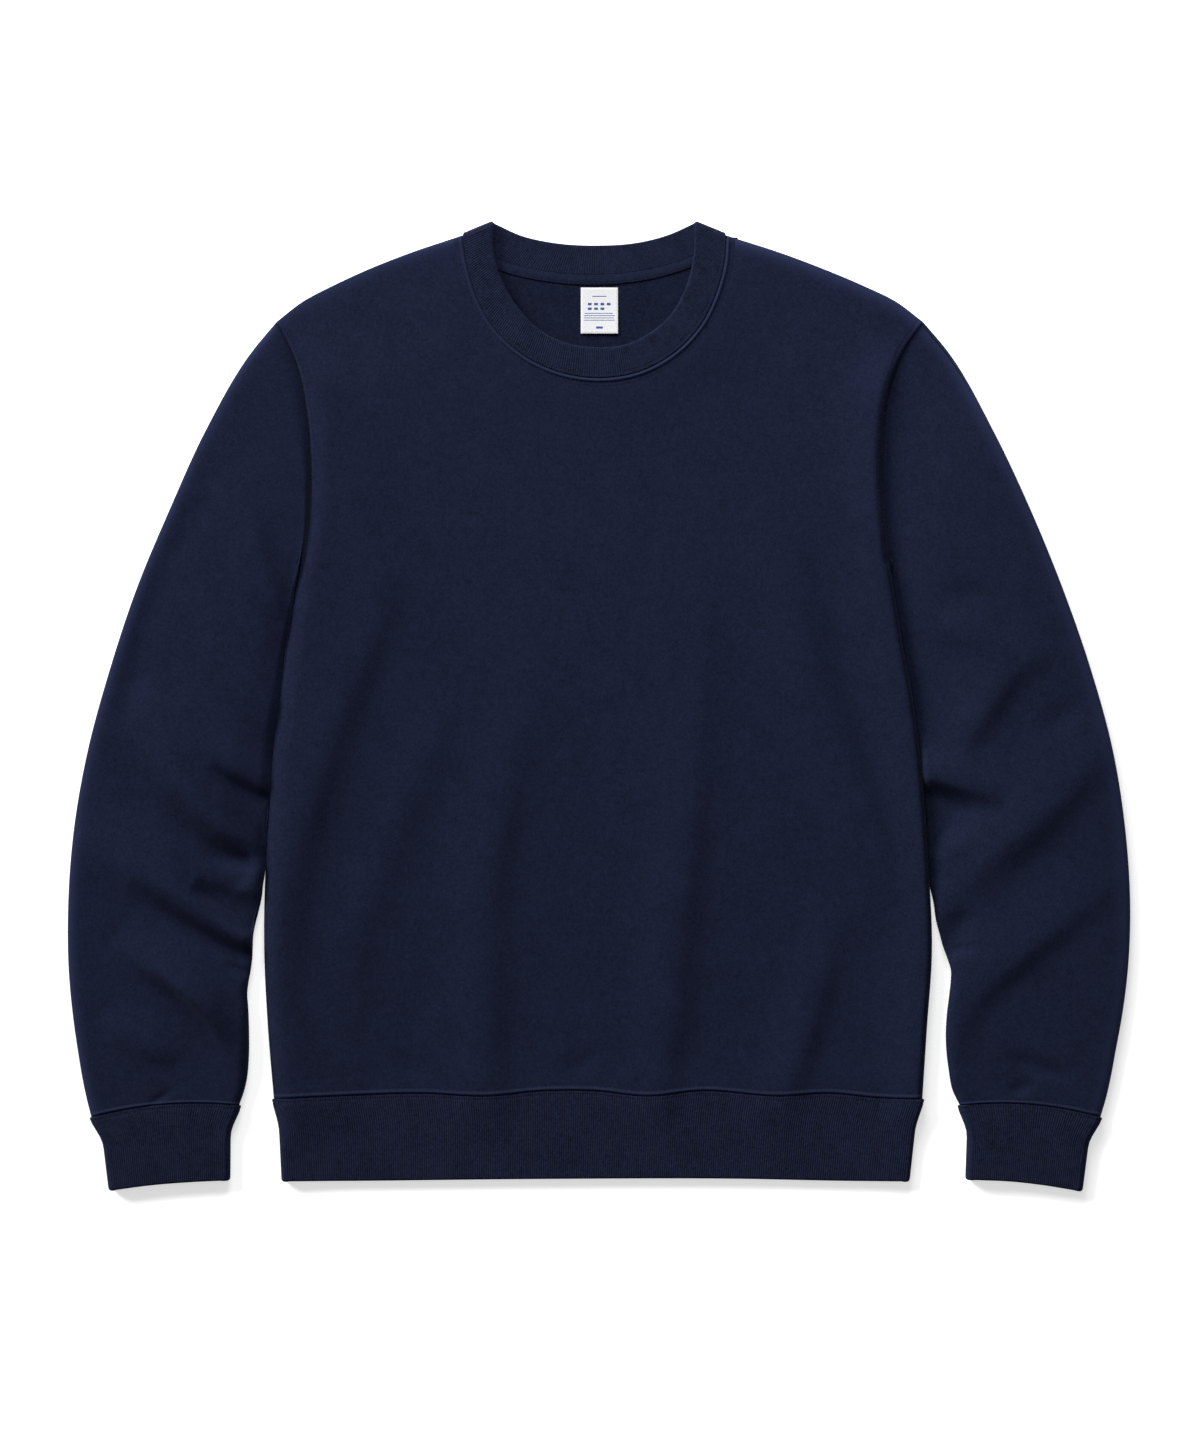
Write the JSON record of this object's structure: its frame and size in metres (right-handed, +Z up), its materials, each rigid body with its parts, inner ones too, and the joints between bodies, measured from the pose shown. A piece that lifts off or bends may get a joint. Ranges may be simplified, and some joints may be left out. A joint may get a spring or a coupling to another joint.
{
  "type": "crewneck sweatshirt",
  "caption": "Long-sleeved crewneck sweatshirt laid flat on its back, with set-in sleeves, ribbed collar, cuffs and hem, neck tape and care label.",
  "frame": {"origin": "middle of the footprint, on the surface that the garment lies on", "axes": "+X to the wearer's left, across the garment; +Y from the hem towards the neck; +Z up from the surface, out of the front"},
  "size_m": [0.8282, 0.7566, 0.0235],
  "materials": {
    "fleece": "matte navy brushed-back fleece with a fine fuzzy knit face",
    "rib": "matte navy 1x1 rib knit",
    "label": "white woven satin tape"
  },
  "bodies": {
    "root": {"front_panel": "fleece", "back_panel": "fleece", "sleeve_right": "fleece", "sleeve_left": "fleece", "neck_tape": "fleece", "collar_rib": "rib", "hem_rib": "rib", "cuff_right": "rib", "cuff_left": "rib", "care_label": "label"}
  },
  "joints": []
}
